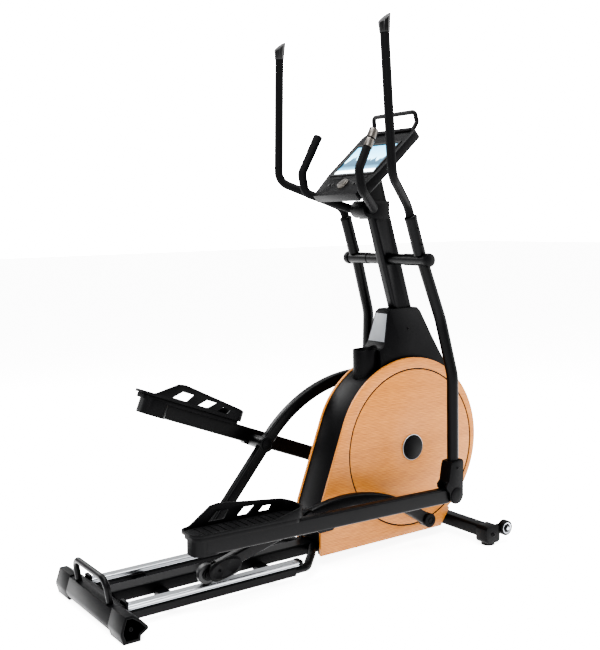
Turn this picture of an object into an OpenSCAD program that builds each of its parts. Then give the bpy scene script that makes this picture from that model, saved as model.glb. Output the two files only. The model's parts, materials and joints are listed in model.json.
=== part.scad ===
// Elliptical trainer, front drive, with two swing arms, two rail rollers
// and a belt driven flywheel. X runs to the front, Y to the left, Z up.
// All lengths are in millimetres and all angles in degrees.

/* [Linkage] */
// Crank angle at rest, from the right pin straight down
crank_turn = 2; // [-10:1:10]
// Crank radius
crank_r = 254; // [240:1:260]
// Link length, roller axle to crank pin
link_len = 900; // [880:5:920]
// Distance from the roller axle to the pedal arm pivot
pivot_along = 378; // [360:1:400]
// Height of the pedal arm pivot above the link chord
pivot_off = 105; // [90:1:120]
// Swing arm length, mast axle to pedal arm pin
swing_len = 831; // [820:1:840]
// Pedal arm length, link pivot to swing arm pin
arm_len = 558; // [550:1:565]

/* [Body] */
// Height of the mast axle
axle_z = 1030; // [1000:5:1060]
// Half width over the wooden panels
body_half = 73; // [70:1:80]
// Thickness of the wooden panels and discs
wood_t = 10.8; // [8:0.1:12]
// Radius of the outer arc of the panels
panel_r = 318; // [300:1:330]
// Radius of the turning discs
disc_r = 283; // [270:1:290]
// Gap round the turning discs
disc_gap = 4.5; // [3:0.5:6]

/* [Tubes] */
// Handle tube radius
handle_tube_r = 15; // [12:0.5:18]
// Lower swing arm tube radius
swing_tube_r = 20; // [14:0.5:22]
// Pedal arm tube height
arm_h = 54; // [40:1:60]
// Pedal arm tube width
arm_w = 31; // [26:1:36]
// Link tube height
link_h = 42; // [36:1:50]
// Link tube width
link_w = 30; // [26:1:32]

/* [Pedals] */
// Pedal length
pedal_l = 397; // [380:1:440]
// Pedal width
pedal_w = 104; // [96:2:150]
// Distance from the pedal front to the link pivot
pedal_front = 90; // [60:1:100]

/* [Hidden] */
$fn = 64;
eps = 0.01;
gap = 0.3;
slip = 0.05;

RIGHT = -1;
LEFT = 1;

// Fixed points of the linkage, X and Z
crank_c = [461, 350];
swing_c = [410, axle_z];
roller_z = 99;
wheel_r = 31.7;

// Planes across the machine, distance from the middle
link_y = 134;
arm_y = 230;
hub_y = 182;

link_slope = atan2(pivot_off, pivot_along);

// Linkage solved for each side at rest
function pin_angle(s) = (s == RIGHT ? -90 : 90) + crank_turn;
function pin_at(s) = crank_c + crank_r * [cos(pin_angle(s)), sin(pin_angle(s))];
function roller_x(s) = pin_at(s).x - sqrt(pow(link_len, 2) - pow(pin_at(s).y - roller_z, 2));
function link_a(s) = atan2(pin_at(s).y - roller_z, pin_at(s).x - roller_x(s));
function turned(v, a) = [v.x * cos(a) - v.y * sin(a), v.x * sin(a) + v.y * cos(a)];
function pivot_at(s) = [roller_x(s), roller_z] + turned([pivot_along, pivot_off], link_a(s));
function reach(s) = norm(pivot_at(s) - swing_c);
function swing_a(s) =
    atan2(pivot_at(s).x - swing_c.x, swing_c.y - pivot_at(s).y)
    + acos((pow(swing_len, 2) + pow(reach(s), 2) - pow(arm_len, 2)) / (2 * swing_len * reach(s)));
function knee_at(s) = swing_c + swing_len * [sin(swing_a(s)), -cos(swing_a(s))];
function arm_a(s) = atan2(knee_at(s).y - pivot_at(s).y, knee_at(s).x - pivot_at(s).x);

// ---- helpers ----

// Rounded rectangle in 2D, centred
module rrect(w, h, r) {
    square([w - 2 * r, h], center = true);
    square([w, h - 2 * r], center = true);
    for (x = [-1, 1])
        for (y = [-1, 1])
            translate([x * (w / 2 - r), y * (h / 2 - r)])
                circle(r = r);
}

// Cylinder along Y from y0 to y1
module rod_y(r, y0, y1) {
    translate([0, y1, 0])
        rotate([90, 0, 0])
            cylinder(r = r, h = y1 - y0);
}

// Rounded bar along Y, section w by h in X and Z
module bar_y(w, h, r, y0, y1) {
    translate([0, y1, 0])
        rotate([90, 0, 0])
            linear_extrude(height = y1 - y0)
                rrect(w, h, r);
}

// Rounded bar along X, section w by h in Y and Z
module bar_x(w, h, r, x0, x1) {
    translate([x0, 0, 0])
        rotate([90, 0, 90])
            linear_extrude(height = x1 - x0)
                rrect(w, h, r);
}

// Plate in the XZ plane from y0 to y1, drawn from its 2D outline in X and Z
module plate_y(y0, y1) {
    translate([0, y1, 0])
        rotate([90, 0, 0])
            linear_extrude(height = y1 - y0)
                children();
}

function unit(v) = v / norm(v);
function trim(pts, i, bend) =
    i == 0 || i == len(pts) - 1 ? 0 :
    bend * tan(acos(unit(pts[i] - pts[i - 1]) * unit(pts[i + 1] - pts[i])) / 2);

// Move the +Z axis onto the line from a to b
module along(a, b) {
    d = b - a;
    translate(a)
        rotate([0, acos(d.z / norm(d)), atan2(d.y, d.x)])
            children();
}

// Straight lengths run this far into a bend, and are this much slimmer
lap = 1;
lap_r = 0.05;

// Round tube through the points, each corner bent at radius bend
module pipe(pts, r, bend) {
    for (i = [0 : len(pts) - 2]) {
        a = pts[i];
        b = pts[i + 1];
        u = unit(b - a);
        t0 = trim(pts, i, bend) - (i > 0 ? lap : 0);
        t1 = trim(pts, i + 1, bend) - (i < len(pts) - 2 ? lap : 0);
        along(a + t0 * u, b)
            cylinder(r = r - lap_r, h = norm(b - a) - t0 - t1);
    }
    for (i = [1 : len(pts) - 2]) {
        u = unit(pts[i] - pts[i - 1]);
        v = unit(pts[i + 1] - pts[i]);
        turn = acos(u * v);
        n = unit(cross(u, v));
        start = pts[i] - trim(pts, i, bend) * u;
        x = cross(u, n);
        c = start - bend * x;
        multmatrix([
            [x.x, u.x, n.x, c.x],
            [x.y, u.y, n.y, c.y],
            [x.z, u.z, n.z, c.z],
            [0, 0, 0, 1]
        ])
            rotate_extrude(angle = turn)
                translate([bend, 0])
                    circle(r = r);
    }
}

// Draw the left hand shape on side s
module on_side(s) {
    mirror([0, s == RIGHT ? 1 : 0, 0])
        children();
}

// Place a left hand shape in the moving frames of side s
module in_swing(s) {
    on_side(s)
        translate([swing_c.x, 0, swing_c.y])
            rotate([0, -swing_a(s), 0])
                children();
}

module in_arm(s) {
    on_side(s)
        translate([pivot_at(s).x, 0, pivot_at(s).y])
            rotate([0, -arm_a(s), 0])
                children();
}

module in_link(s) {
    on_side(s)
        translate([roller_x(s), 0, roller_z])
            rotate([0, -link_a(s), 0])
                children();
}

module at_crank() {
    translate([crank_c.x, 0, crank_c.y])
        children();
}

// ---- base frame ----

beam_z = 52;
beam_h = 40;
beam_w = 60;
rear_x = -735;
front_x = 655;
upright_foot = [600, 72];
mast_lean = 16;
mast_foot = [528, 640];
mast_w = 84;
mast_d = 40;
fly_c = [250, 235];
fly_r = 112;
bearing_r = 24;
bearing_arm = 69.5;

module base_beam() {
    color("#1b1c1e")
        translate([0, 0, beam_z])
            bar_x(beam_w, beam_h, 6, rear_x + 26, front_x - 26);
}

mast_base_z = 632;

module upright_bar(w, d, h) {
    lean = atan2(upright_foot.x - mast_foot.x, mast_foot.y - upright_foot.y);
    translate([upright_foot.x, 0, upright_foot.y])
        rotate([0, -lean, 0])
            translate([0, 0, -20])
                linear_extrude(height = h)
                    rrect(w, d, 8);
}

module front_upright() {
    color("#1b1c1e")
        intersection() {
            upright_bar(60, mast_d, 640);
            translate([0, -100, beam_z + beam_h / 2])
                cube([1000, 200, mast_base_z - beam_z - beam_h / 2]);
        }
}

module crank_bearing() {
    color("#242527")
        difference() {
            union() {
                at_crank()
                    bar_x(34, 50, 5, 0, bearing_arm);
                at_crank()
                    rod_y(bearing_r, -44, 44);
            }
            at_crank()
                rod_y(12.5 + slip, -60, 60);
        }
}

module flywheel_fork() {
    color("#242527")
        for (s = [RIGHT, LEFT])
            on_side(s)
                plate_y(20, 24)
                    difference() {
                        union() {
                            translate([fly_c.x - 20, beam_z + beam_h / 2])
                                square([40, fly_c.y - beam_z - beam_h / 2]);
                            translate(fly_c)
                                circle(r = 20);
                        }
                        translate(fly_c)
                            circle(r = 8 + slip);
                    }
}

module rear_stabiliser() {
    color("#1b1c1e")
        translate([rear_x, 0, 38])
            bar_y(48, 40, 9, -215, 215);
}

module stabiliser_bore(y0, y1) {
    translate([rear_x, 0, 38])
        bar_y(48 + eps, 40 + eps, 9, y0, y1);
}

module rear_end_caps() {
    color("#141516")
        for (s = [RIGHT, LEFT])
            on_side(s)
                difference() {
                    plate_y(160, 250)
                        translate([rear_x, 0])
                            polygon([
                                [-27, 0], [-35, 28], [-35, 36], [-20, 80], [4, 80],
                                [28, 62], [50, 38], [50, 30], [27, 16], [25, 0]
                            ]);
                    stabiliser_bore(150, 215 + eps);
                }
}

module rear_cover() {
    color("#2e3033")
        difference() {
            plate_y(-159.7, 159.7)
                translate([rear_x, 0])
                    polygon([
                        [-30, 14], [-35, 28], [-35, 36], [-22, 75], [18, 75], [52, 46], [52, 14]
                    ]);
            stabiliser_bore(-170, 170);
            translate([0, 0, beam_z])
                bar_x(beam_w + eps, beam_h + eps, 6, rear_x + 26, rear_x + 60);
            for (s = [RIGHT, LEFT])
                on_side(s)
                    translate([rear_x + 20, link_y - 26, 0])
                        cube([60, 60, 90]);
            rear_hoop();
        }
}

module rear_hoop() {
    pipe([
        [rear_x - 6, -118, 62], [rear_x - 18, -118, 148],
        [rear_x - 18, 118, 148], [rear_x - 6, 118, 62]
    ], 10, 34);
}

module rear_handle() {
    color("#141516")
        rear_hoop();
}

module front_stabiliser() {
    color("#1b1c1e")
        translate([front_x, 0, 46])
            bar_y(50, 44, 9, -258, 258);
}

module front_feet() {
    color("#141516")
        for (s = [RIGHT, LEFT])
            on_side(s)
                difference() {
                    union() {
                        translate([front_x, 0, 40])
                            bar_y(66, 62, 14, 232, 285);
                        translate([front_x, 258, 0])
                            cylinder(r = 24, h = 20);
                        plate_y(262, 270)
                            polygon([
                                [front_x + 20, 30], [front_x + 62, 40],
                                [front_x + 78, 52], [front_x + 70, 68], [front_x + 20, 66]
                            ]);
                    }
                    translate([front_x, 0, 46])
                        bar_y(50 + eps, 44 + eps, 9, 220, 258 + eps);
                    translate([front_x + 62, 0, 54])
                        rod_y(4 + slip, 255, 280);
                }
}

module transport_wheels(s) {
    color("#2a2b2d")
        on_side(s)
            translate([front_x + 62, 0, 54])
                difference() {
                    union() {
                        rod_y(27, 270.4, 292);
                        rod_y(14, 292, 294);
                    }
                    rod_y(4 + slip, 260, 300);
                }
}

module wheel_bolts() {
    color("#55575a")
        for (s = [RIGHT, LEFT])
            on_side(s)
                translate([front_x + 62, 0, 54]) {
                    rod_y(4, 258, 298);
                    rod_y(7, 294.3, 299);
                    rod_y(7, 257, 261.9);
                }
}

// ---- rails ----

rail_x0 = -700;
rail_x1 = -96;
rail_top = roller_z - wheel_r - gap;

module rail_supports() {
    color("#1b1c1e")
        for (s = [RIGHT, LEFT])
            on_side(s) {
                translate([0, link_y, 36])
                    bar_x(38, 30, 6, rear_x + 26, -110);
                difference() {
                    pipe([
                        [-118, link_y, 36], [-54, link_y, 36],
                        [-6, 92, 58], [20, 58, 58], [60, 10, 58]
                    ], 14, 26);
                    translate([0, -beam_w / 2, 0])
                        cube([200, beam_w, 100]);
                }
                for (x = [-560, -200])
                    translate([x, beam_w / 2, 30])
                        cube([40, link_y - beam_w / 2 - 8, 14]);
            }
}

module rails() {
    color("#c9cbcd")
        for (s = [RIGHT, LEFT])
            on_side(s)
                difference() {
                    translate([0, link_y, (rail_top + 51) / 2])
                        bar_x(36, rail_top - 51, 5, rail_x0, rail_x1);
                    for (y = [link_y - 18, link_y + 18])
                        translate([0, y, 58])
                            bar_x(5, 5, 1, rail_x0 - 1, rail_x1 + 1);
                }
}

module rail_end_caps() {
    color("#141516")
        for (s = [RIGHT, LEFT])
            on_side(s) {
                translate([0, link_y, 60])
                    bar_x(38, 18, 6, rail_x1, rail_x1 + 14);
                translate([0, link_y, 66])
                    bar_x(38, 30, 6, rail_x0 - 10, rail_x0);
            }
}

// ---- mast and body ----

function mast_x(z) = mast_foot.x - (z - mast_foot.y) * tan(mast_lean);
mast_top = 1330;
panel_c = [452, 359];
tangent_a = 160.5;

module body_outline(inset) {
    r = panel_r - inset;
    intersection() {
        union() {
            translate(panel_c)
                circle(r = r, $fn = 180);
            polygon([
                panel_c + r * [cos(tangent_a), sin(tangent_a)],
                [50 + inset * 1.1, 196],
                [47 + inset, 150],
                [47 + inset, 31 + inset],
                [598 - inset, 31 + inset],
                [642 - inset, 90 + inset],
                panel_c
            ]);
        }
        translate([0, 31 + inset])
            square([900, 900]);
    }
}

module lower_trim() {
    polygon([[598, 0], [598, 31], [642, 90], [700, 168], [900, 168], [900, 0]]);
}

module housing_shell() {
    color("#1d1e20")
        difference() {
            plate_y(-body_half + wood_t + 0.1, body_half - wood_t - 0.1)
                difference() {
                    body_outline(3);
                    lower_trim();
                }
            plate_y(-100, 100)
                difference() {
                    body_outline(7);
                    translate([4, -4])
                        lower_trim();
                    translate([592, 0])
                        square([300, 170]);
                }
            translate([0, 0, beam_z])
                bar_x(beam_w + 1, beam_h + 1, 6, 0, 900);
            translate([0, 0, beam_z])
                bar_x(100, 46, 1, 0, 70);
            upright_bar(61, mast_d + 1, 700);
            translate([mast_x(640), 0, 640])
                cube([150, 52, 160], center = true);
            translate([bottle_c.x, 0, 600])
                cylinder(r = bottle_r + 1, h = 200);
        }
}

module panel(s) {
    color("#d9a878")
        on_side(s)
            plate_y(body_half - wood_t, body_half)
                difference() {
                    body_outline(0);
                    lower_trim();
                    translate(crank_c)
                        circle(r = disc_r + disc_gap, $fn = 180);
                }
}

module mast() {
    color("#17181a")
        difference() {
            translate([mast_foot.x, 0, mast_foot.y])
                rotate([0, -mast_lean, 0])
                    translate([0, 0, -30])
                        linear_extrude(height = (mast_top - mast_foot.y) / cos(mast_lean) + 30)
                            rrect(mast_w, mast_d, 12);
            translate([mast_foot.x - 100, -50, mast_base_z - 60])
                cube([200, 100, 60]);
            translate([swing_c.x, 0, swing_c.y])
                rod_y(19 + slip, -60, 60);
        }
}

module mast_shroud() {
    color("#232427")
        difference() {
            plate_y(-60, 60)
                difference() {
                    polygon([
                        [384, 842], [398, 852], [520, 852], [534, 838],
                        [578, 745], [640, 625], [560, 560], [380, 600],
                        [330, 650], [330, 712], [344, 716], [356, 732]
                    ]);
                    translate(panel_c)
                        circle(r = panel_r - 2.8, $fn = 180);
                }
            for (s = [RIGHT, LEFT])
                on_side(s)
                    translate([300, 60, 655])
                        rotate([7.5, 0, 0])
                            cube([400, 60, 300]);
            translate([mast_foot.x, 0, mast_foot.y])
                rotate([0, -mast_lean, 0])
                    translate([0, 0, -80])
                        linear_extrude(height = 400)
                            rrect(mast_w + 0.6, mast_d + 0.6, 12);
            translate([bottle_c.x, 0, 560])
                cylinder(r = bottle_r + 0.3, h = 400);
        }
}

bottle_c = [306, 0];
bottle_r = 44;

module bottle_holder() {
    color("#141516")
        difference() {
            union() {
                translate([bottle_c.x, 0, 606])
                    cylinder(r = bottle_r, h = 98);
                translate([bottle_c.x, 0, 704])
                    cylinder(r = bottle_r, h = 10);
            }
            translate([bottle_c.x, 0, 609])
                cylinder(r = bottle_r - 3, h = 120);
        }
}

module pivot_axle() {
    color("#1b1c1e")
        translate([swing_c.x, 0, swing_c.y]) {
            rod_y(19, -100, 100);
            rod_y(12, -206, 206);
        }
}

// ---- console and fixed bar ----

bar_c = [306, 0, 1206];

module bar_clamp() {
    color("#141516")
        difference() {
            union() {
                translate([bar_c.x + 10, -38, bar_c.z - 34])
                    cube([76, 76, 62]);
                translate([bar_c.x, 0, bar_c.z])
                    rod_y(30, -38, 38);
            }
            translate([mast_foot.x, 0, mast_foot.y])
                rotate([0, -mast_lean, 0])
                    linear_extrude(height = (mast_top - mast_foot.y) / cos(mast_lean) + eps)
                        rrect(mast_w + eps, mast_d + eps, 12);
            translate([bar_c.x, 0, bar_c.z])
                rod_y(15, -60, 60);
        }
}

bar_half = [[306, 60, 1206], [172, 162, 1268], [160, 163, 1336], [230, 156, 1466]];

module bar_path(r) {
    right = [for (i = [3 : -1 : 0]) [bar_half[i].x, -bar_half[i].y, bar_half[i].z]];
    pipe(concat(right, bar_half), r, 34);
}

module fixed_handlebar() {
    color("#17181a")
        bar_path(15);
}

// Pulse plates, from and to these shares of the horn's straight end
plates = [[0.54, 0.74], [0.77, 0.985]];

function on_horn(t) = bar_half[2] + t * (bar_half[3] - bar_half[2]);

module pulse_sensors() {
    color("#b9bcc0")
        for (s = [RIGHT, LEFT])
            on_side(s)
                for (p = plates)
                    difference() {
                        along(on_horn(p[0]), on_horn(p[1]))
                            cylinder(r = 16.6, h = norm(on_horn(p[1]) - on_horn(p[0])));
                        along(on_horn(p[0] - 0.2), on_horn(p[1]))
                            cylinder(r = 15 + eps, h = 200);
                        translate([100, 100, 1300])
                            cube([200, 60.5, 200]);
                    }
}

con_a = [176, 0, 1256];
con_tilt = 41;
con_l = 338;
con_w = 286;
con_t = 30;
screen_x = 112;
screen_l = 150;
screen_w = 224;

module in_console() {
    translate(con_a)
        rotate([0, -con_tilt, 0])
            children();
}

module console_body() {
    color("#1a1b1d")
        difference() {
            union() {
                in_console()
                    translate([0, 0, -con_t])
                        linear_extrude(height = con_t)
                            difference() {
                                translate([con_l / 2, 0])
                                    rrect(con_l, con_w, 22);
                                for (s = [-1, 1])
                                    translate([0, s * con_w / 2])
                                        rotate(s * 11)
                                            translate([-60, s > 0 ? -22 : -18])
                                                square([210, 40]);
                            }
                in_console()
                    translate([150, 0, -con_t - 22])
                        bar_x(120, 50, 14, -60, 70);
            }
            top_hoop();
            bar_path(15.4);
            in_console()
                translate([screen_x, -screen_w / 2, -3])
                    cube([screen_l, screen_w, 10]);
            in_console()
                translate([56, 0, -8])
                    cylinder(r = 23, h = 20);
            translate([mast_foot.x, 0, mast_foot.y])
                rotate([0, -mast_lean, 0])
                    linear_extrude(height = (mast_top - mast_foot.y) / cos(mast_lean) + 1)
                        rrect(mast_w + 1, mast_d + 1, 12);
        }
}

module console_screen() {
    color("#9fc3d8")
        in_console()
            translate([screen_x + gap, -screen_w / 2 + gap, -3])
                cube([screen_l - 2 * gap, screen_w - 2 * gap, 2.6]);
}

module top_hoop() {
    in_console()
        pipe([
            [con_l - 40, -116, -con_t / 2], [con_l + 32, -116, 4], [con_l + 50, -112, 34],
            [con_l + 50, 112, 34], [con_l + 32, 116, 4], [con_l - 40, 116, -con_t / 2]
        ], 8, 14);
}

module console_hoop() {
    color("#141516")
        top_hoop();
}

module dial() {
    color("#c2c4c7")
        in_console()
            translate([56, 0, -7.6]) {
                cylinder(r = 22.6, h = 12);
                translate([0, 0, 12])
                    cylinder(r = 19, h = 4);
            }
}

// ---- drive ----

pulley_r = 150;
small_r = 22;
belt_t = 3;

module crank_axle() {
    color("#8d9094")
        at_crank()
            rod_y(12.5, -66, 66);
}

module crank_arms() {
    color("#2b2d30")
        for (s = [RIGHT, LEFT])
            on_side(s)
                plate_y(48, 58)
                    translate(crank_c)
                        rotate(pin_angle(s))
                            difference() {
                                union() {
                                    circle(r = 30);
                                    translate([0, -20])
                                        square([crank_r, 40]);
                                    translate([crank_r, 0])
                                        circle(r = 20);
                                }
                                circle(r = 12.5 + eps);
                            }
}

module drive_pulley() {
    color("#4a4c50")
        at_crank()
            difference() {
                rod_y(pulley_r, 26, 47.6);
                rod_y(pulley_r - 12, 20, 45);
                rod_y(12.5 + eps, 0, 60);
            }
}

module discs() {
    color("#d9a878")
        at_crank()
            for (s = [RIGHT, LEFT])
                on_side(s)
                    difference() {
                        rod_y(disc_r, body_half - wood_t + 0.4, body_half - 0.4);
                        rod_y(12.5 + eps, 0, 100);
                    }
}

module disc_caps() {
    color("#141516")
        at_crank()
            for (s = [RIGHT, LEFT])
                on_side(s)
                    difference() {
                        union() {
                            rod_y(45, body_half - 0.4, body_half + 3);
                            rod_y(36, body_half + 3, body_half + 4.6);
                        }
                        rod_y(12.5 + eps, 0, 66 + eps);
                    }
}

// Outline round two pulleys, radius a at the origin and b at distance span
module loop_outline(a, b, span) {
    n = acos((a - b) / span);
    circle(r = a, $fn = 180);
    translate([span, 0])
        circle(r = b);
    polygon([
        [a * cos(n), a * sin(n)], [span + b * cos(n), b * sin(n)],
        [span + b * cos(n), -b * sin(n)], [a * cos(n), -a * sin(n)]
    ]);
}

module drive_belt() {
    span = norm(fly_c - crank_c);
    dir = atan2(fly_c.y - crank_c.y, fly_c.x - crank_c.x);
    color("#101112")
        plate_y(29, 43)
            translate(crank_c)
                rotate(dir)
                    difference() {
                        loop_outline(pulley_r + gap + belt_t, small_r + gap + belt_t, span);
                        loop_outline(pulley_r + gap, small_r + gap, span);
                    }
}

module flywheel() {
    color("#6b6e73")
        translate([fly_c.x, 0, fly_c.y])
            difference() {
                union() {
                    difference() {
                        rod_y(fly_r, -17, 17);
                        rod_y(fly_r - 26, 9, 20);
                        rod_y(fly_r - 26, -20, -9);
                    }
                    rod_y(24, -18.6, 18.6);
                }
                rod_y(8 + eps, -20, 20);
            }
}

module flywheel_axle() {
    color("#8d9094")
        translate([fly_c.x, 0, fly_c.y]) {
            rod_y(8, -34, 46);
            rod_y(small_r, 27, 44);
        }
}

module brake_magnets() {
    color("#3a3c40")
        plate_y(-30, 30)
            difference() {
                translate(fly_c)
                    difference() {
                        circle(r = fly_r + 26, $fn = 128);
                        circle(r = fly_r + 7, $fn = 128);
                        translate([-300, -300])
                            square([600, 300]);
                        translate([0, -300])
                            square([300, 600]);
                        rotate(40)
                            translate([0, -150])
                                square([300, 300]);
                    }
            }
    color("#3a3c40")
        translate([fly_c.x - 152, -16, beam_z + beam_h / 2])
            cube([20, 32, 180]);
}

// ---- moving arms, in the frame of the mast axle ----

sleeve_foot = [-4, hub_y, 20];
sleeve_top = [-30, hub_y + 1, 150];

module swing_arm(s) {
    color("#17181a")
        in_swing(s)
            difference() {
                union() {
                    rod_y(20.5, 101, 207);
                    rod_y(23, 207, 222);
                    rod_y(19, 222, 228);
                    pipe([
                        [6, hub_y, -6], [50, 196, -215], [52, arm_y, -415], [14, arm_y, -752]
                    ], swing_tube_r, 200);
                    along(sleeve_foot, sleeve_top)
                        cylinder(r = 21, h = norm(sleeve_top - sleeve_foot));
                }
                rod_y(12 + slip, 100, 206 + gap);
            }
}

handle_end = [-172, 309, 752];
handle_pts = [
    sleeve_top, sleeve_top + 0.3 * (sleeve_top - sleeve_foot), [-214, 328, 304], handle_end
];

module handle(s) {
    color("#121314")
        in_swing(s)
            pipe(handle_pts, handle_tube_r, 54);
}

module handle_cap(s) {
    root = unit(handle_end - handle_pts[2]);
    foot = handle_end - 14 * root;
    color("#0c0d0e")
        in_swing(s)
            difference() {
                along(foot, handle_end)
                    cylinder(r1 = 16.4, r2 = 22.5, h = 64);
                along(foot - 50 * root, handle_end)
                    cylinder(r = handle_tube_r, h = 64);
                along(foot, handle_end)
                    rotate(-atan2(root.y, root.x))
                        translate([-22.5, 0, 26])
                            rotate([0, -39, 0])
                                translate([-40, -50, 0])
                                    cube([200, 100, 90]);
            }
}

module knuckle_outline() {
    circle(r = 31);
    polygon([
        [-31, 0], [-32, 18], [-44, 34], [-44, 46], [-30, 58], [-14, 112], [-8, 122],
        [40, 122], [45, 114], [38, 56], [31, 0]
    ]);
}

module knuckle(s) {
    color("#111213")
        in_swing(s) {
            difference() {
                plate_y(arm_y - 25, arm_y + 25)
                    translate([0, -swing_len])
                        knuckle_outline();
                translate([0, 0, -swing_len])
                    plate_y(arm_y - arm_w / 2 - 1, arm_y + arm_w / 2 + 1)
                        translate([-60, -60])
                            square([120, 116]);
                along([14, arm_y, -752], [52, arm_y, -415])
                    cylinder(r = swing_tube_r + eps, h = 120);
                translate([0, 0, -swing_len])
                    rod_y(8 + eps, arm_y - 30, arm_y + 30);
            }
            translate([0, 0, -swing_len])
                rod_y(8, arm_y - 27, arm_y + 27);
        }
}

// ---- pedal arms, in the frame of the link pivot ----

tube_lift = 12;
tube_slope = atan2(tube_lift, arm_len);
tube_len = norm([arm_len, tube_lift]);

// Frame of the arm tube: X along its middle line from above the pivot
module in_tube(s) {
    in_arm(s)
        translate([arm_len, 0, 0])
            rotate([0, tube_slope, 0])
                translate([-tube_len, 0, 0])
                    children();
}

module arm_tube() {
    translate([0, arm_y, 0])
        bar_x(arm_w, arm_h, 8, -pedal_front - pedal_l + 56, tube_len - 24);
}

module pedal_arm(s) {
    color("#17181a")
        difference() {
            union() {
                in_tube(s)
                    arm_tube();
                in_arm(s) {
                    translate([arm_len, 0, 0])
                        rod_y(27, arm_y - arm_w / 2, arm_y + arm_w / 2);
                    plate_y(arm_y - arm_w / 2 + 2, arm_y + arm_w / 2 - 2)
                        polygon([[-74, 20], [-24, -20], [24, -20], [74, 16]]);
                    rod_y(22, link_y + link_w / 2 + 1, arm_y);
                }
            }
            in_arm(s)
                translate([arm_len, 0, 0])
                    rod_y(8 + slip, arm_y - 40, arm_y + 40);
        }
}

floor_z = 36;
rim_z = 46;
toe_z = 72;
wall_t = 7;
pedal_in = 160;
pedal_y = pedal_in + pedal_w / 2;

module pedal_shape(inset, z0, h, r) {
    translate([-pedal_front - pedal_l / 2, pedal_y, z0])
        linear_extrude(height = h)
            rrect(pedal_l - 2 * inset, pedal_w - 2 * inset, r);
}

// Inner wall seen from the side, with slanted windows, X from the pedal's front end
module guard_outline() {
    difference() {
        polygon([
            [-376, rim_z - 4], [-356, rim_z + 4], [-287, 98], [-262, 102],
            [-30, 79], [1, toe_z], [1, rim_z - 4]
        ]);
        polygon([[-297, 50], [-241, 50], [-221, 78], [-267, 78]]);
        polygon([[-196, 50], [-156, 50], [-127, 75], [-170, 75]]);
        polygon([[-118, 50], [-76, 50], [-66, 67], [-100, 67]]);
    }
}

// Outer wall seen from the side, rising to the toe
module toe_outline() {
    polygon([[-124, rim_z - 4], [-118, rim_z], [-16, toe_z], [1, toe_z], [1, rim_z - 4]]);
}

module pedal_walls() {
    intersection() {
        difference() {
            pedal_shape(0, rim_z - 4, 70, 34);
            pedal_shape(wall_t, rim_z - 6, 80, 34 - wall_t);
        }
        translate([-pedal_front, 0, 0])
            union() {
                plate_y(pedal_in - 1, pedal_y)
                    guard_outline();
                plate_y(pedal_y, pedal_in + pedal_w + 1)
                    toe_outline();
            }
    }
}

// Plain shoe round the rear end of the arm
module heel() {
    inner = 166;
    outer = arm_y + arm_w / 2;
    translate([-pedal_front - pedal_l + 62, (inner + outer) / 2, -arm_h / 2])
        linear_extrude(height = arm_h)
            rrect(92, outer - inner, 30);
}

module pedal(s) {
    color("#141516")
        in_tube(s)
            difference() {
                union() {
                    pedal_shape(0, rim_z - 9, 9, 34);
                    pedal_shape(9, 21, rim_z - 25, 25);
                    pedal_walls();
                    heel();
                }
                pedal_shape(wall_t, floor_z, 12, 34 - wall_t);
                arm_tube();
            }
}

module pedal_mat(s) {
    color("#202224")
        in_tube(s)
            difference() {
                pedal_shape(11, floor_z, 5, 23);
                for (i = [0 : 12])
                    translate([-pedal_front - pedal_l + 40 + i * 25, pedal_y - 32, floor_z + 3])
                        cube([9, 64, 10]);
            }
}

// ---- links, in the frame of the roller axle ----

fork_x = 40;
fork_t = 4;
arch_r = 520;
arch_end = 33;
arch_run = arch_r * (sin(link_slope) + sin(arch_end));
arch_drop = arch_r * (cos(link_slope) - cos(arch_end));
den = cos(link_slope) * sin(arch_end) + sin(link_slope) * cos(arch_end);
front_run = ((link_len - arch_run) * sin(link_slope) - arch_drop * cos(link_slope)) / den;
rear_run = (arch_drop + front_run * sin(arch_end)) / sin(link_slope);

module link_bar(x0, x1) {
    bar_x(link_w - 2 * lap_r, link_h - 2 * lap_r, 8, x0, x1);
}

module link(s) {
    color("#17181a")
        in_link(s)
            difference() {
                union() {
                    translate([0, link_y, 0])
                        rotate([0, -link_slope, 0])
                            link_bar(fork_x, rear_run + lap);
                    for (y = [link_y - link_w / 2, link_y + link_w / 2 - fork_t])
                        rotate([0, -link_slope, 0])
                            plate_y(y, y + fork_t)
                                union() {
                                    circle(r = 19);
                                    translate([0, -19])
                                        square([fork_x + 20, 38]);
                                }
                    translate([
                        rear_run * cos(link_slope) + arch_r * sin(link_slope), link_y,
                        rear_run * sin(link_slope) - arch_r * cos(link_slope)
                    ])
                        rotate([90, 0, 0])
                            rotate(90 - arch_end)
                                rotate_extrude(angle = link_slope + arch_end)
                                    translate([arch_r, 0])
                                        rotate(90)
                                            rrect(link_w, link_h, 8);
                    translate([
                        link_len - front_run * cos(arch_end), link_y, front_run * sin(arch_end)
                    ])
                        rotate([0, arch_end, 0])
                            link_bar(-lap, front_run);
                    translate([link_len, 0, 0]) {
                        rod_y(25, link_y - link_w / 2, link_y + link_w / 2);
                        rod_y(12, body_half + 0.8, link_y + link_w / 2 + 4);
                        rod_y(17, link_y + link_w / 2, link_y + link_w / 2 + 4);
                    }
                    translate([pivot_along, 0, pivot_off])
                        rod_y(27, link_y - link_w / 2, link_y + link_w / 2);
                }
                rod_y(9 + slip, 100, 160);
            }
}

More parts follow.
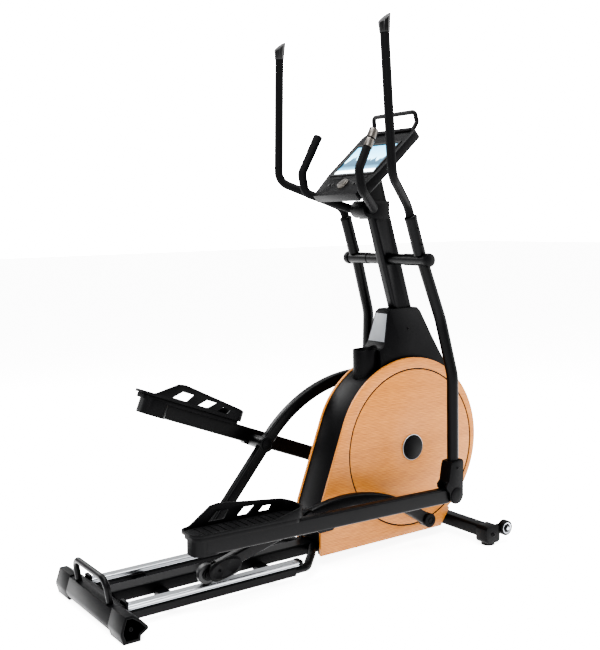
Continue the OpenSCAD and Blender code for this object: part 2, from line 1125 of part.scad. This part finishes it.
// Axle carriage of one roller, with its oval cover
module roller_axle(s) {
    color("#1f2123")
        on_side(s)
            translate([roller_x(s), 0, roller_z]) {
                rod_y(9, link_y - link_w / 2 - 8, link_y + link_w / 2 + 8);
                rod_y(14, link_y - link_w / 2 - 8, link_y - link_w / 2 - 1);
                rod_y(14, link_y + link_w / 2 + 1, link_y + link_w / 2 + 6);
                plate_y(link_y + link_w / 2 + 6, link_y + link_w / 2 + 13)
                    translate([52, 12])
                        rotate(10)
                            for (x = [-29, 29]) {
                                translate([x, 0])
                                    circle(r = 30);
                                square([58, 60], center = true);
                            }
            }
}

module roller(s) {
    color("#2b2c2f")
        on_side(s)
            translate([roller_x(s), 0, roller_z])
                difference() {
                    rod_y(wheel_r, link_y - 10.4, link_y + 10.4);
                    rod_y(9 + slip, 60, 160);
                }
}

// ---- drawing ----

base_beam();
front_upright();
crank_bearing();
flywheel_fork();
rear_stabiliser();
rear_end_caps();
rear_cover();
rear_handle();
front_stabiliser();
front_feet();
rail_supports();
rails();
rail_end_caps();
mast();
mast_shroud();
bottle_holder();
housing_shell();
panel(RIGHT);  // right_panel
panel(LEFT);  // left_panel
pivot_axle();
fixed_handlebar();
bar_clamp();
pulse_sensors();
console_body();
console_screen();
console_hoop();
dial();
drive_belt();
crank_axle();
crank_arms();
drive_pulley();
discs();
disc_caps();
flywheel();
flywheel_axle();
brake_magnets();
wheel_bolts();
transport_wheels(LEFT);  // transport_wheels_left
transport_wheels(RIGHT);  // transport_wheels_right
swing_arm(RIGHT);  // right_swing_arm
swing_arm(LEFT);  // left_swing_arm
handle(RIGHT);  // right_handle
handle(LEFT);  // left_handle
handle_cap(RIGHT);  // right_handle_cap
handle_cap(LEFT);  // left_handle_cap
knuckle(RIGHT);  // right_knuckle
knuckle(LEFT);  // left_knuckle
pedal_arm(RIGHT);  // right_pedal_arm
pedal_arm(LEFT);  // left_pedal_arm
pedal(RIGHT);  // right_pedal
pedal(LEFT);  // left_pedal
pedal_mat(RIGHT);  // right_pedal_mat
pedal_mat(LEFT);  // left_pedal_mat
link(RIGHT);  // right_link
link(LEFT);  // left_link
roller_axle(RIGHT);  // right_roller_axle
roller_axle(LEFT);  // left_roller_axle
roller(RIGHT);  // right_roller
roller(LEFT);  // left_roller
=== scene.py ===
"""Looks of the elliptical trainer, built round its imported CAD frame.

Shapes are worked out in millimetres in the row frame (X to the front, Y to the left, Z up)
and turned to metres when a piece is made.
"""
import json
from math import acos, atan2, cos, degrees, hypot, pi, radians, sin, sqrt, tan

import bmesh
import bpy
from mathutils import Matrix, Vector


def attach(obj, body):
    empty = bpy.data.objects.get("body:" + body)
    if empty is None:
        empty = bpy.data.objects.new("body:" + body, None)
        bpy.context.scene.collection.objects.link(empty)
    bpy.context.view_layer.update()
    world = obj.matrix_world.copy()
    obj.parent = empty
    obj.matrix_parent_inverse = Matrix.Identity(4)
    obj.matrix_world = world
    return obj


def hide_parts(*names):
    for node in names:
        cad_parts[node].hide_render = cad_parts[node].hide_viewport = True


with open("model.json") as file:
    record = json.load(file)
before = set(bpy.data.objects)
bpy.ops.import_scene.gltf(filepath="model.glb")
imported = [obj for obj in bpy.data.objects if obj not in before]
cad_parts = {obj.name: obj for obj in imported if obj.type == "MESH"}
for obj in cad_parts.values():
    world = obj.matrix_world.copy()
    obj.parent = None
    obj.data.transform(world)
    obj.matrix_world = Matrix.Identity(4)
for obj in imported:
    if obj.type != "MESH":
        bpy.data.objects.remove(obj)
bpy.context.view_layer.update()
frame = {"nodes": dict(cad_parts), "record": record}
MM = 0.001
RIGHT, LEFT = -1, 1
SIDES = {"right": RIGHT, "left": LEFT}

# ---- driving dimensions, as in the CAD source ----

CRANK_C = (461, 350)
SWING_C = (410, 1030)
ROLLER_Z = 99
WHEEL_R = 31.7
CRANK_R, LINK_L = 254, 900
PIVOT_ALONG, PIVOT_OFF = 378, 105
SWING_L, ARM_L = 831, 558
LINK_Y, HUB_Y = 134, 182
DISC_R, DISC_GAP = 283, 4.5
REAR_X, FRONT_X = -735, 655
RAIL_X0, RAIL_X1 = -700, -96
RAIL_TOP = ROLLER_Z - WHEEL_R - 0.3
CON_A, CON_TILT = (176, 0, 1256), 41
SHROUD_SIDE, SHROUD_LEAN, SHROUD_FOOT_Z = 60, 7.5, 655
SLEEVE_FOOT_X, SLEEVE_TOP = -4, (-30, 183, 150)
CRANK_TURN = 2


def linkage(side):
    """Angles and places of one side's linkage at rest, in degrees and millimetres."""
    a = radians((-90 if side == RIGHT else 90) + CRANK_TURN)
    px, pz = CRANK_C[0] + CRANK_R * cos(a), CRANK_C[1] + CRANK_R * sin(a)
    rx = px - sqrt(LINK_L**2 - (pz - ROLLER_Z) ** 2)
    la = atan2(pz - ROLLER_Z, px - rx)
    ax = rx + PIVOT_ALONG * cos(la) - PIVOT_OFF * sin(la)
    az = ROLLER_Z + PIVOT_ALONG * sin(la) + PIVOT_OFF * cos(la)
    d = hypot(ax - SWING_C[0], az - SWING_C[1])
    th = atan2(ax - SWING_C[0], SWING_C[1] - az)
    th += acos((SWING_L**2 + d**2 - ARM_L**2) / (2 * SWING_L * d))
    bx, bz = SWING_C[0] + SWING_L * sin(th), SWING_C[1] - SWING_L * cos(th)
    return {
        "roller_x": rx, "link": degrees(la), "pivot": (ax, az), "swing": degrees(th),
        "knee": (bx, bz), "arm": degrees(atan2(bz - az, bx - ax)),
    }


POSE = {name: linkage(side) for name, side in SIDES.items()}


def turned_at(side, x, z, angle):
    """Place a left hand shape: turned up by angle about Y, moved to x, z, mirrored for the right."""
    flip = Matrix.Diagonal((1, side, 1, 1))
    return flip @ Matrix.Translation((x, 0, z)) @ Matrix.Rotation(radians(-angle), 4, "Y")


def in_swing(name):
    return turned_at(SIDES[name], *SWING_C, POSE[name]["swing"])


def in_link(name):
    return turned_at(SIDES[name], POSE[name]["roller_x"], ROLLER_Z, POSE[name]["link"])


IN_CONSOLE = Matrix.Translation(CON_A) @ Matrix.Rotation(radians(-CON_TILT), 4, "Y")
PLAIN = Matrix.Identity(4)

# ---- materials ----


def colour(text):
    """Hex sRGB to linear RGBA."""
    parts = [int(text[i:i + 2], 16) / 255 for i in (1, 3, 5)]
    return [c / 12.92 if c <= 0.04045 else ((c + 0.055) / 1.055) ** 2.4 for c in parts] + [1.0]


def add_node(tree, kind, links=(), **values):
    """One shader node. links are (input name, output socket); values set inputs or properties."""
    node = tree.nodes.new(kind)
    for key, value in values.items():
        if key in node.inputs:
            node.inputs[key].default_value = value
        else:
            setattr(node, key, value)
    for key, source in links:
        tree.links.new(node.inputs[key], source)
    return node


def blank(name):
    """A new material, its node tree and its Principled shader."""
    mat = bpy.data.materials.new(name)
    mat.use_nodes = True
    tree = mat.node_tree
    return mat, tree, tree.nodes["Principled BSDF"]


def object_mm(tree, scale=(1, 1, 1), turn=(0, 0, 0)):
    """Object coordinates in millimetres, turned and stretched."""
    where = add_node(tree, "ShaderNodeTexCoord")
    size = [s / MM for s in scale]
    return add_node(
        tree, "ShaderNodeMapping", [("Vector", where.outputs["Object"])], Scale=size, Rotation=turn
    ).outputs["Vector"]


def ramp(tree, source, stops):
    """A colour ramp with (place, colour) stops."""
    node = add_node(tree, "ShaderNodeValToRGB", [("Fac", source)])
    points = node.color_ramp.elements
    while len(points) < len(stops):
        points.new(0.5)
    for point, (place, shade) in zip(points, stops):
        point.position = place
        point.color = shade
    return node.outputs["Color"]


def grained(name, base, rough, grain_mm, depth_mm, spread=0.05, metal=0.0, coat=0.0, spec=0.5):
    """Uniform finish with a fine surface grain, slightly uneven in roughness."""
    mat, tree, shader = blank(name)
    place = object_mm(tree)
    fine = add_node(tree, "ShaderNodeTexNoise", [("Vector", place)], Scale=1 / grain_mm, Detail=3.0)
    broad = add_node(tree, "ShaderNodeTexNoise", [("Vector", place)], Scale=1 / 90, Detail=2.0)
    rough_map = add_node(
        tree, "ShaderNodeMapRange", [("Value", broad.outputs["Fac"])],
        **{"To Min": rough - spread, "To Max": rough + spread},
    )
    bump = add_node(
        tree, "ShaderNodeBump", [("Height", fine.outputs["Fac"])], Strength=1.0, Distance=depth_mm * MM
    )
    tree.links.new(shader.inputs["Roughness"], rough_map.outputs["Result"])
    tree.links.new(shader.inputs["Normal"], bump.outputs["Normal"])
    shader.inputs["Base Color"].default_value = colour(base)
    shader.inputs["Metallic"].default_value = metal
    shader.inputs["Coat Weight"].default_value = coat
    shader.inputs["Coat Roughness"].default_value = 0.12
    shader.inputs["Specular IOR Level"].default_value = spec
    return mat


def oak_veneer():
    """Warm oak veneer under a thin satin lacquer, its fine grain running along X."""
    mat, tree, shader = blank("Oak veneer")
    place = object_mm(tree, (0.05, 1, 1))
    warp = add_node(tree, "ShaderNodeTexNoise", [("Vector", place)], Scale=1 / 60, Detail=4.0)
    bands = add_node(
        tree, "ShaderNodeTexWave", [("Vector", place)], bands_direction="Z",
        Scale=1 / 16, Distortion=3.0, Detail=3.0, **{"Detail Scale": 1.6},
    )
    fibre = add_node(tree, "ShaderNodeTexNoise", [("Vector", place)], Scale=1 / 2.2, Detail=4.0)
    pores = add_node(tree, "ShaderNodeTexNoise", [("Vector", object_mm(tree, (0.12, 1, 1)))], Scale=1 / 0.9)
    figure = add_node(
        tree, "ShaderNodeMix", [("A", bands.outputs["Fac"]), ("B", warp.outputs["Fac"])],
        data_type="FLOAT", Factor=0.55,
    )
    base = ramp(tree, figure.outputs["Result"], [
        (0.25, colour("#7a4c1c")), (0.5, colour("#8a5925")), (0.72, colour("#986630")),
    ])
    streak = ramp(tree, fibre.outputs["Fac"], [(0.35, colour("#d9cbbd")), (0.6, colour("#ffffff"))])
    dark = ramp(tree, pores.outputs["Fac"], [(0.3, colour("#c9b5a2")), (0.42, colour("#ffffff"))])
    lines = add_node(
        tree, "ShaderNodeMix", [("A", base), ("B", streak)], data_type="RGBA",
        blend_type="MULTIPLY", Factor=0.8,
    )
    tone = add_node(
        tree, "ShaderNodeMix", [("A", lines.outputs["Result"]), ("B", dark)], data_type="RGBA",
        blend_type="MULTIPLY", Factor=0.3,
    )
    bump = add_node(
        tree, "ShaderNodeBump", [("Height", fibre.outputs["Fac"])], Strength=0.5, Distance=0.06 * MM
    )
    tree.links.new(shader.inputs["Base Color"], tone.outputs["Result"])
    tree.links.new(shader.inputs["Normal"], bump.outputs["Normal"])
    shader.inputs["Roughness"].default_value = 0.5
    shader.inputs["Specular IOR Level"].default_value = 0.25
    shader.inputs["Coat Weight"].default_value = 0.06
    shader.inputs["Coat Roughness"].default_value = 0.3
    return mat


def lit_screen():
    """Glass over a lit display: pale sky, blue hills and water, a white bar along the bottom."""
    mat, tree, shader = blank("Screen glass")
    where = add_node(tree, "ShaderNodeTexCoord")
    local = add_node(
        tree, "ShaderNodeMapping", [("Vector", where.outputs["Object"])], vector_type="TEXTURE",
        Location=[v * MM for v in CON_A], Rotation=(0, radians(-CON_TILT), 0), Scale=(MM, MM, MM),
    )
    parts = add_node(tree, "ShaderNodeSeparateXYZ", [("Vector", local.outputs["Vector"])])
    height = add_node(
        tree, "ShaderNodeMapRange", [("Value", parts.outputs["X"])],
        **{"From Min": 112.0, "From Max": 262.0},
    )
    across = add_node(tree, "ShaderNodeCombineXYZ", [("X", parts.outputs["Y"])])
    ridge = add_node(
        tree, "ShaderNodeTexNoise", [("Vector", across.outputs["Vector"])], Scale=1 / 45, Detail=4.0,
    )
    lifted = add_node(
        tree, "ShaderNodeMath", [(0, ridge.outputs["Fac"]), (1, height.outputs["Result"])],
        operation="SUBTRACT",
    )
    hills = add_node(
        tree, "ShaderNodeMapRange", [("Value", lifted.outputs["Value"])],
        **{"From Min": -0.02, "From Max": 0.03},
    )
    sky = ramp(tree, height.outputs["Result"], [
        (0.0, colour("#dfeef5")), (0.12, colour("#f3fafc")), (0.16, colour("#5f97b0")),
        (0.42, colour("#9cc7d8")), (0.6, colour("#7fb4ca")), (1.0, colour("#4d93b3")),
    ])
    land = ramp(tree, height.outputs["Result"], [
        (0.0, colour("#dfeef5")), (0.12, colour("#f3fafc")), (0.16, colour("#4f86a0")),
        (0.3, colour("#1f3f50")), (1.0, colour("#2c5468")),
    ])
    view = add_node(
        tree, "ShaderNodeMix", [("Factor", hills.outputs["Result"]), ("A", sky), ("B", land)],
        data_type="RGBA",
    )
    tree.links.new(shader.inputs["Base Color"], view.outputs["Result"])
    tree.links.new(shader.inputs["Emission Color"], view.outputs["Result"])
    shader.inputs["Emission Strength"].default_value = 0.5
    shader.inputs["Roughness"].default_value = 0.12
    return mat


MATERIALS = {
    "steel": grained("Powder coated steel", "#030304", 0.38, 0.9, 0.02, spec=0.1),
    "plastic": grained("Moulded ABS", "#040405", 0.46, 0.7, 0.03, spec=0.08),
    "gloss_plastic": grained("Polished ABS", "#030304", 0.2, 3.0, 0.004, 0.03, spec=0.25),
    "wood": oak_veneer(),
    "aluminium": grained("Anodised aluminium", "#8a8c8f", 0.3, 0.5, 0.01, metal=1.0),
    "chrome": grained("Satin chrome", "#4a4744", 0.38, 2.0, 0.004, metal=1.0),
    "rubber": grained("Foam grip", "#040405", 0.66, 0.8, 0.03, spec=0.08),
    "glass": lit_screen(),
    # Also worn by the painted highlight sheet on the shroud's rear facet.
    "grey_plastic": grained("Grey ABS", "#55575a", 0.5, 0.7, 0.03),
    "iron": grained("Painted cast iron", "#4a4d52", 0.5, 1.5, 0.06),
    "bright_steel": grained("Zinc plated steel", "#8f9297", 0.35, 0.8, 0.01, metal=1.0),
    "urethane": grained("Cast urethane", "#0d0d0f", 0.45, 1.2, 0.02, spec=0.3),
}

SLOT_OF = {part["node"]: part["material_slot"] for part in frame["record"]["subparts"]}
for node_name, node in frame["nodes"].items():
    node.data.materials.clear()
    node.data.materials.append(MATERIALS[SLOT_OF[node_name]])

# ---- making pieces ----


def shaded(mesh, name, angle=32):
    """Mesh data from a bmesh, smooth across edges flatter than angle."""
    for face in mesh.faces:
        face.smooth = True
    for edge in mesh.edges:
        edge.smooth = len(edge.link_faces) == 2 and edge.calc_face_angle() < radians(angle)
    data = bpy.data.meshes.new(name)
    mesh.to_mesh(data)
    mesh.free()
    return data


def add_piece(name, data, slot, body, *stands_for):
    """An object with the slot's material, riding on a body and standing for CAD nodes."""
    obj = bpy.data.objects.new(name, data)
    bpy.context.scene.collection.objects.link(obj)
    data.materials.clear()
    data.materials.append(MATERIALS[slot])
    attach(obj, body)
    if stands_for:
        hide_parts(*stands_for)
    return obj


def made(name, mesh, place, slot, body, *stands_for, angle=32):
    """Finish a bmesh drawn in millimetres: set it in place, weld it, turn its faces outwards."""
    bmesh.ops.remove_doubles(mesh, verts=mesh.verts, dist=0.001)
    bmesh.ops.transform(mesh, matrix=Matrix.Scale(MM, 4) @ place, verts=mesh.verts)
    bmesh.ops.recalc_face_normals(mesh, faces=mesh.faces)
    return add_piece(name, shaded(mesh, name, angle), slot, body, *stands_for)


def rounded(mesh, width, segments=3, angle=25):
    """Round the edges sharper than angle."""
    chosen = [
        edge for edge in mesh.edges
        if len(edge.link_faces) == 2 and edge.calc_face_angle() > radians(angle)
    ]
    bmesh.ops.bevel(
        mesh, geom=chosen, offset=width, offset_type="OFFSET", segments=segments, profile=0.5,
        affect="EDGES", clamp_overlap=True, material=-1,
    )


def lathed(mesh, profile, at=(0, 0), steps=48):
    """Spin a profile of (radius, y) pairs about the Y line through X and Z."""
    verts = [mesh.verts.new((at[0] + r, y, at[1])) for r, y in profile]
    edges = [mesh.edges.new(pair) for pair in zip(verts, verts[1:])]
    bmesh.ops.spin(
        mesh, geom=verts + edges, cent=(at[0], 0, at[1]), axis=(0, 1, 0), angle=2 * pi,
        steps=steps, use_merge=True,
    )


def slab(mesh, outline, y0, y1):
    """A plate from y0 to y1, from its outline in X and Z."""
    face = mesh.faces.new([mesh.verts.new((x, y0, z)) for x, z in outline])
    grown = bmesh.ops.extrude_face_region(mesh, geom=[face])["geom"]
    moved = [v for v in grown if isinstance(v, bmesh.types.BMVert)]
    bmesh.ops.translate(mesh, verts=moved, vec=(0, y1 - y0, 0))


def block(mesh, low, high):
    """A box between two corners."""
    size = [b - a for a, b in zip(low, high)]
    middle = [(a + b) / 2 for a, b in zip(low, high)]
    place = Matrix.Translation(middle) @ Matrix.Diagonal((*size, 1))
    bmesh.ops.create_cube(mesh, size=1, matrix=place)


def rim(mesh, outer, inner, z0, z1):
    """A flat frame between two rectangles (x0, x1, y0, y1), from z0 to z1."""
    loops = []
    for x0, x1, y0, y1 in (outer, inner):
        corners = [(x0, y0), (x1, y0), (x1, y1), (x0, y1)]
        loops.append([[mesh.verts.new((x, y, z)) for x, y in corners] for z in (z0, z1)])
    (out_low, out_high), (in_low, in_high) = loops
    for a, b in ((out_low, out_high), (in_low, in_high), (out_low, in_low), (out_high, in_high)):
        for i in range(4):
            j = (i + 1) % 4
            mesh.faces.new((a[i], a[j], b[j], b[i]))


def hex_socket(mesh, at, y, radius, out=1):
    """A button head screw with a round recess, its head rising along Y from y."""
    rise = radius * 0.55
    lathed(mesh, [
        (radius, y), (radius * 0.98, y + out * rise * 0.45), (radius * 0.8, y + out * rise * 0.85),
        (radius * 0.5, y + out * rise), (radius * 0.48, y + out * rise * 0.2),
        (0.001, y + out * rise * 0.2),
    ], at, 24)


BODY_OF = {
    node: body for body, members in frame["record"]["behaviour"]["bodies"].items() for node in members
}


def softened(node, width=1.2, segments=2):
    """A welded copy of a CAD node with its edges rounded, standing for the node."""
    mesh = bmesh.new()
    mesh.from_mesh(frame["nodes"][node].data)
    bmesh.ops.remove_doubles(mesh, verts=mesh.verts, dist=0.02 * MM)
    bmesh.ops.dissolve_limit(
        mesh, angle_limit=radians(0.8), verts=mesh.verts, edges=mesh.edges, delimit={"NORMAL"}
    )
    rounded(mesh, width * MM, segments)
    bmesh.ops.triangulate(mesh, faces=[f for f in mesh.faces if len(f.verts) > 4])
    return add_piece(node + "_finish", shaded(mesh, node, 35), SLOT_OF[node], BODY_OF[node], node)


SOFT_NODES = [
    "rear_stabiliser", "rear_end_caps", "rear_cover", "front_stabiliser", "front_feet", "rail_end_caps",
    "mast", "mast_shroud", "housing_shell", "right_panel", "left_panel", "bar_clamp", "console_body",
    "discs", "disc_caps", "right_knuckle", "left_knuckle", "right_pedal_arm", "left_pedal_arm",
    "right_pedal", "left_pedal", "right_pedal_mat", "left_pedal_mat", "right_link", "left_link",
    "right_roller_axle", "left_roller_axle", "right_roller", "left_roller", "dial",
    "transport_wheels_left", "transport_wheels_right", "wheel_bolts", "bottle_holder", "pulse_sensors",
    "right_handle_cap", "left_handle_cap",
]
for node_name in SOFT_NODES:
    softened(node_name)

# ---- screws and caps ----


def axle_caps():
    """Domed caps over the ends of the mast axle, and the bolts through each handle's sleeve."""
    for name in SIDES:
        mesh = bmesh.new()
        lathed(mesh, [(23.4, 208), (23.8, 212), (23.8, 223), (22, 228.5), (16, 231.5), (0.001, 232.5)])
        made(name + "_axle_cap", mesh, in_swing(name), "plastic", name + "_swing")
        mesh = bmesh.new()
        for z in (56, 112):
            x = SLEEVE_FOOT_X - (z - 20) * 0.2
            hex_socket(mesh, (x, z), HUB_Y + 20.4, 6.5)
        made(name + "_sleeve_bolts", mesh, in_swing(name), "steel", name + "_swing")


def sleeve_rims():
    """The rolled rim round the mouth of each sleeve."""
    for name in SIDES:
        mesh = bmesh.new()
        lathed(mesh, [(15.2, -6), (15.2, 3), (17, 5), (20.5, 4), (22.4, 1), (22.4, -6), (15.2, -6)])
        axis = Vector((-26, 1, 130)).to_track_quat("Y", "X").to_matrix().to_4x4()
        place = in_swing(name) @ Matrix.Translation(SLEEVE_TOP) @ axis
        made(name + "_sleeve_rim", mesh, place, "steel", name + "_swing", angle=50)


def knuckle_trim():
    """The round cover seam and the screw on each knuckle's outer face."""
    for name in SIDES:
        mesh = bmesh.new()
        lathed(mesh, [(27, 254.5), (27, 256.4), (25.4, 257.4), (8, 257.8), (0.001, 257.8)], (0, -SWING_L))
        made(name + "_knuckle_cover", mesh, in_swing(name), "plastic", name + "_swing")
        mesh = bmesh.new()
        hex_socket(mesh, (16, -SWING_L + 96), 254.8, 5)
        made(name + "_knuckle_screw", mesh, in_swing(name), "steel", name + "_swing")


def link_caps():
    """Screwed caps on the links' front pins and at the pedal arm pivots."""
    for name in SIDES:
        for label, at, y in (("pin", (LINK_L, 0), 153), ("pivot", (PIVOT_ALONG, PIVOT_OFF), 149)):
            mesh = bmesh.new()
            if label == "pin":
                lathed(mesh, [
                    (25.5, y - 5), (25.5, y + 3), (23.5, y + 5), (14, y + 5.6), (12.5, y + 3.4),
                    (8, y + 3.4), (7, y + 5.2), (0.001, y + 5.2),
                ], at)
                made(name + "_link_pin_cap", mesh, in_link(name), "plastic", name + "_link")
            else:
                lathed(mesh, [(20, -119.5), (20, -116), (17, -114.2), (0.001, -114.2)], at)
                place = in_link(name) @ Matrix.Diagonal((1, -1, 1, 1))
                made(name + "_link_pivot_cap", mesh, place, "plastic", name + "_link")


def roller_covers():
    """The raised rim and screw of each oval roller cover."""
    for name in SIDES:
        place = turned_at(SIDES[name], POSE[name]["roller_x"], ROLLER_Z, 0)
        place = place @ Matrix.Translation((52, 0, 12)) @ Matrix.Rotation(radians(-10), 4, "Y")
        mesh = bmesh.new()
        lathed(mesh, [(30, 161.5), (29.5, 163.6), (26, 164.6), (24, 163.2), (0.001, 163.2)])
        bmesh.ops.scale(mesh, vec=(1.96, 1, 1), verts=mesh.verts)
        hex_socket(mesh, (-20, 0), 163.0, 5)
        made(name + "_roller_badge", mesh, place, "plastic", name + "_carriage")


def disc_trim():
    """The bright ring round each cap in the middle of the discs, and the dark groove round each disc."""
    for name, side in SIDES.items():
        mesh = bmesh.new()
        inner, outer = DISC_R + 0.2, DISC_R + DISC_GAP - 0.2
        lathed(mesh, [(inner, 70), (outer, 70), (outer, 71.8), (inner, 71.8), (inner, 70)], CRANK_C, 128)
        made(name + "_disc_groove", mesh, Matrix.Diagonal((1, side, 1, 1)), "rubber", "frame", angle=60)
        mesh = bmesh.new()
        lathed(mesh, [
            (44.6, 75.2), (46.6, 75.8), (47.4, 74.6), (47.4, 72.8), (44.6, 72.8), (44.6, 75.2),
        ], CRANK_C, 96)
        made(name + "_cap_ring", mesh, Matrix.Diagonal((1, side, 1, 1)), "aluminium", "crank", angle=60)


def shroud_trim():
    """A light grey sheet up the shroud's rear face, a painted highlight standing in for the reflection on
    that facet, and the screws in the shroud's sides.
    """
    mesh = bmesh.new()
    low, high = (357.5, 44, 738), (382.5, 31, 836)
    slab(mesh, [
        (low[0] - 1, low[2]), (high[0] - 1, high[2]), (high[0] + 4, high[2]), (low[0] + 4, low[2]),
    ], -1, 1)
    for vert in mesh.verts:
        vert.co.y *= low[1] if vert.co.z < 787 else high[1]
    rounded(mesh, 0.8, 2)
    # The grey sheet is a painted highlight: a light piece laid on the rear facet where the reflection
    # falls, not a real grey panel.
    made("shroud_painted_highlight", mesh, PLAIN, "grey_plastic", "frame")
    for name, side in SIDES.items():
        mesh = bmesh.new()
        screw_x, screw_z = 470, 778
        y = SHROUD_SIDE - (screw_z - SHROUD_FOOT_Z) * tan(radians(SHROUD_LEAN))
        hex_socket(mesh, (screw_x, screw_z), y + 0.2, 4.5)
        made(name + "_shroud_screw", mesh, Matrix.Diagonal((1, side, 1, 1)), "steel", "frame")


def console_trim():
    """Screen frame, top shelf, low pads and buttons of the console."""
    mesh = bmesh.new()
    rim(mesh, (102, 272, -121, 121), (111.6, 262.4, -112.2, 112.2), -1, 2.4)
    rounded(mesh, 0.8, 2)
    made("screen_frame", mesh, IN_CONSOLE, "gloss_plastic", "frame")
    mesh = bmesh.new()
    block(mesh, (322, -118, -2), (337, 118, 9))
    rounded(mesh, 4)
    block(mesh, (84, -100, -0.6), (98, -40, 0.9))
    block(mesh, (84, 40, -0.6), (98, 100, 0.9))
    made("console_shelf", mesh, IN_CONSOLE, "plastic", "frame")
    mesh = bmesh.new()
    for y in (-78, -58, 58, 78):
        bmesh.ops.create_cone(
            mesh, cap_ends=True, segments=32, radius1=6.5, radius2=6, depth=3,
            matrix=Matrix.Translation((56, y, 0.6)),
        )
    rounded(mesh, 0.6, 2)
    made("console_buttons", mesh, IN_CONSOLE, "gloss_plastic", "frame")


def foot_trim():
    """Recessed ends of the rear feet, screws in the front feet, rings of the transport wheels."""
    for name, side in SIDES.items():
        flip = Matrix.Diagonal((1, side, 1, 1))
        mesh = bmesh.new()
        profile = [
            (-20, 8), (-29, 29), (-29, 36), (-16, 74), (3, 74), (25, 58), (43, 37), (43, 33),
            (22, 21), (19, 8),
        ]
        slab(mesh, [(REAR_X + x, z) for x, z in profile], 249, 251.6)
        outer = max(mesh.faces, key=lambda f: f.calc_center_median().y)
        bmesh.ops.inset_region(mesh, faces=[outer], thickness=3)
        bmesh.ops.translate(mesh, verts=outer.verts, vec=(0, -1.6, 0))
        hex_socket(mesh, (REAR_X - 4, 42), 249.6, 7)
        made(name + "_rear_foot_end", mesh, flip, "plastic", "frame")
        mesh = bmesh.new()
        hex_socket(mesh, (FRONT_X, 40), 284.6, 8)
        made(name + "_front_foot_screw", mesh, flip, "steel", "frame")
        mesh = bmesh.new()
        lathed(mesh, [(20, 291.8), (20, 293.4), (17, 293.4), (16, 292), (15, 292)], (FRONT_X + 62, 54))
        made(name + "_wheel_ring", mesh, flip, "bright_steel", name + "_wheel", angle=60)


def rail_screws():
    """Countersunk screws that hold the ends of each rail."""
    mesh = bmesh.new()
    for side in SIDES.values():
        for x in (RAIL_X0 + 12, RAIL_X1 - 12):
            bmesh.ops.create_cone(
                mesh, cap_ends=True, segments=24, radius1=5, radius2=4, depth=2.4,
                matrix=Matrix.Translation((x, side * LINK_Y, RAIL_TOP + 0.6)),
            )
    rounded(mesh, 0.4, 2)
    made("rail_screws", mesh, PLAIN, "bright_steel", "frame")


axle_caps()
sleeve_rims()
knuckle_trim()
link_caps()
roller_covers()
disc_trim()
shroud_trim()
console_trim()
foot_trim()
rail_screws()

# ---- stage ----


def floor():
    """Pale, slightly glossy studio floor that glows a little, to meet the white backdrop."""
    mesh = bmesh.new()
    bmesh.ops.create_grid(mesh, x_segments=1, y_segments=1, size=30)
    data = bpy.data.meshes.new("floor")
    mesh.to_mesh(data)
    mesh.free()
    obj = bpy.data.objects.new("floor", data)
    bpy.context.collection.objects.link(obj)
    mat, _, shader = blank("Studio floor")
    shader.inputs["Base Color"].default_value = colour("#fafafa")
    shader.inputs["Roughness"].default_value = 0.16
    shader.inputs["Emission Color"].default_value = colour("#ffffff")
    shader.inputs["Emission Strength"].default_value = 2.6
    data.materials.append(mat)


def soft_light(name, place, aim, size, power):
    """Rectangular area light at place, facing aim."""
    light = bpy.data.lights.new(name, "AREA")
    light.shape = "RECTANGLE"
    light.size, light.size_y = size
    light.energy = power
    obj = bpy.data.objects.new(name, light)
    obj.matrix_world = (
        Matrix.Translation(place)
        @ (Vector(aim) - Vector(place)).to_track_quat("-Z", "Y").to_matrix().to_4x4()
    )
    bpy.context.collection.objects.link(obj)


def studio():
    """White surroundings, with softboxes in front of, above and behind the machine."""
    world = bpy.data.worlds.new("studio")
    world.use_nodes = True
    tree = world.node_tree
    glow = tree.nodes["Background"]
    glow.inputs["Color"].default_value = colour("#ffffff")
    glow.inputs["Strength"].default_value = 1.1
    backdrop = add_node(tree, "ShaderNodeBackground", Color=colour("#ffffff"), Strength=9.0)
    seen = add_node(tree, "ShaderNodeLightPath")
    both = add_node(tree, "ShaderNodeMixShader", [("Fac", seen.outputs["Is Camera Ray"])])
    tree.links.new(both.inputs[1], glow.outputs["Background"])
    tree.links.new(both.inputs[2], backdrop.outputs["Background"])
    tree.links.new(tree.nodes["World Output"].inputs["Surface"], both.outputs["Shader"])
    bpy.context.scene.world = world
    bpy.context.scene.view_settings.look = "AgX - High Contrast"
    soft_light("key", (-2.4, -2.6, 3.4), (0, 0, 0.5), (2.0, 2.0), 210)
    soft_light("fill", (3.4, -2.0, 2.2), (0.2, 0, 0.6), (1.6, 2.4), 90)
    soft_light("rim", (-1.0, 3.4, 2.8), (0, 0, 0.9), (2.6, 1.6), 140)
    soft_light("top", (0.2, 0.0, 4.6), (0.1, 0, 0), (3.4, 3.4), 520)


def camera():
    """The photograph's standpoint: rear right, a little above the machine's middle."""
    lens = bpy.data.cameras.new("camera")
    lens.sensor_fit = "AUTO"
    lens.sensor_width = 36
    lens.lens = 53.99
    obj = bpy.data.objects.new("camera", lens)
    forward = Vector((0.5625, 0.8195, -0.1096)).normalized()
    side = forward.cross(Vector((0, 0, 1))).normalized()
    up = side.cross(forward)
    roll = radians(-1.077)
    right = side * cos(roll) + up * sin(roll)
    top = up * cos(roll) - side * sin(roll)
    obj.matrix_world = Matrix((
        (right.x, top.x, -forward.x, -1.821),
        (right.y, top.y, -forward.y, -2.694),
        (right.z, top.z, -forward.z, 1.182),
        (0, 0, 0, 1),
    ))
    bpy.context.collection.objects.link(obj)
    bpy.context.scene.camera = obj


floor()
studio()
camera()
